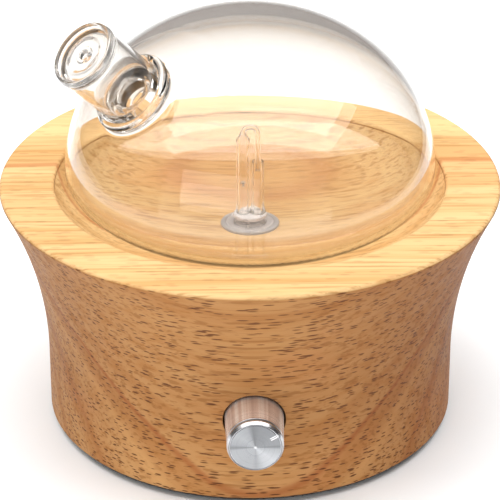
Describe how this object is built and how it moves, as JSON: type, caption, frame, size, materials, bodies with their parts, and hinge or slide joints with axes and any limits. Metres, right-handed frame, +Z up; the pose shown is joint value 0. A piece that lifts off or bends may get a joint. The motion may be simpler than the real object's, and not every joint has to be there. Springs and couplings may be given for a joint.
{
  "type": "essential oil diffuser",
  "caption": "Nebulising essential oil diffuser: a flared wooden base holding a domed glass vessel with a leaning stoppered neck, an air pump inside and an aluminium dial in front.",
  "frame": {"origin": "on the standing surface, under the centre of the round wooden base, at the bottom of the rubber feet", "axes": "+Z up along the base's turning axis; -Y is the front, where the dial is; +Y is the back, with the power inlet; the vessel's neck leans towards -X and a little forward"},
  "size_m": [0.135, 0.1364, 0.124],
  "materials": {
    "rubberwood": "satin oiled rubberwood with fine brown grain",
    "black_plastic": "matte",
    "white_plastic": "matte",
    "screw_steel": "zinc-black",
    "plated_steel": "zinc plated",
    "motor_steel": "satin",
    "shaft_steel": "ground",
    "black_rubber": "matte",
    "filter_foam": "open foam",
    "clear_glass": "clear blown glass",
    "silicone": "translucent",
    "circuit_board": "solder mask",
    "component_black": "matte",
    "lead_sleeve": "smooth",
    "spun_aluminium": "spun face, satin sides"
  },
  "bodies": {
    "base": {"wood_base": "rubberwood", "bottom_plate": "black_plastic", "plate_screws": "screw_steel", "strap_screws": "screw_steel", "board_screws": "screw_steel", "bracket_screws": "screw_steel", "socket_screws": "screw_steel", "pump_screws": "screw_steel", "rubber_feet": "black_rubber", "pump_sleeve": "black_rubber", "stem_seal": "black_rubber", "dust_filter": "filter_foam", "stem_grommet": "silicone", "air_hose": "silicone", "stem_socket": "white_plastic", "pump_motor": "motor_steel", "pump_housing": "black_plastic", "pump_cover": "black_plastic", "pump_saddle": "black_plastic", "pump_diaphragm": "black_rubber", "pump_strap": "plated_steel", "dial_bracket": "plated_steel", "control_board": "circuit_board", "timer_chip": "component_black", "board_capacitors": "component_black", "board_headers": "white_plastic", "motor_leads": "lead_sleeve", "inlet_leads": "lead_sleeve", "power_inlet": "black_plastic", "inlet_pin": "plated_steel", "pot_washer": "plated_steel", "pot_nut": "plated_steel", "inlet_nut": "plated_steel", "pot_body": "motor_steel"},
    "dial": {"knob_shell": "spun_aluminium", "knob_insert": "black_plastic", "pot_shaft": "shaft_steel"},
    "vessel": {"glass_dome": "clear_glass", "glass_neck": "clear_glass", "glass_bowl": "clear_glass", "air_nozzle": "clear_glass", "oil_tube": "clear_glass"},
    "stopper": {"glass_stopper": "clear_glass"},
    "pump_rotor": {"motor_shaft": "shaft_steel", "pump_crank": "white_plastic"}
  },
  "joints": [
    {"name": "dial_turn", "type": "hinge", "parent": "base", "child": "dial", "pos_m": [0, -0.055, 0.02605], "axis": [0, 1, 0], "range_deg": [-209, 91]},
    {"name": "vessel_lift", "type": "slide", "parent": "base", "child": "vessel", "axis": [0, 0, 1], "range_m": [0, 0.05]},
    {"name": "stopper_pull", "type": "slide", "parent": "vessel", "child": "stopper", "axis": [-0.5888, -0.3802, 0.7133], "range_m": [0, 0.025]},
    {"name": "motor_spin", "type": "hinge", "parent": "base", "child": "pump_rotor", "pos_m": [0, 0.016, 0.02], "axis": [1, 0, 0], "continuous": true}
  ]
}
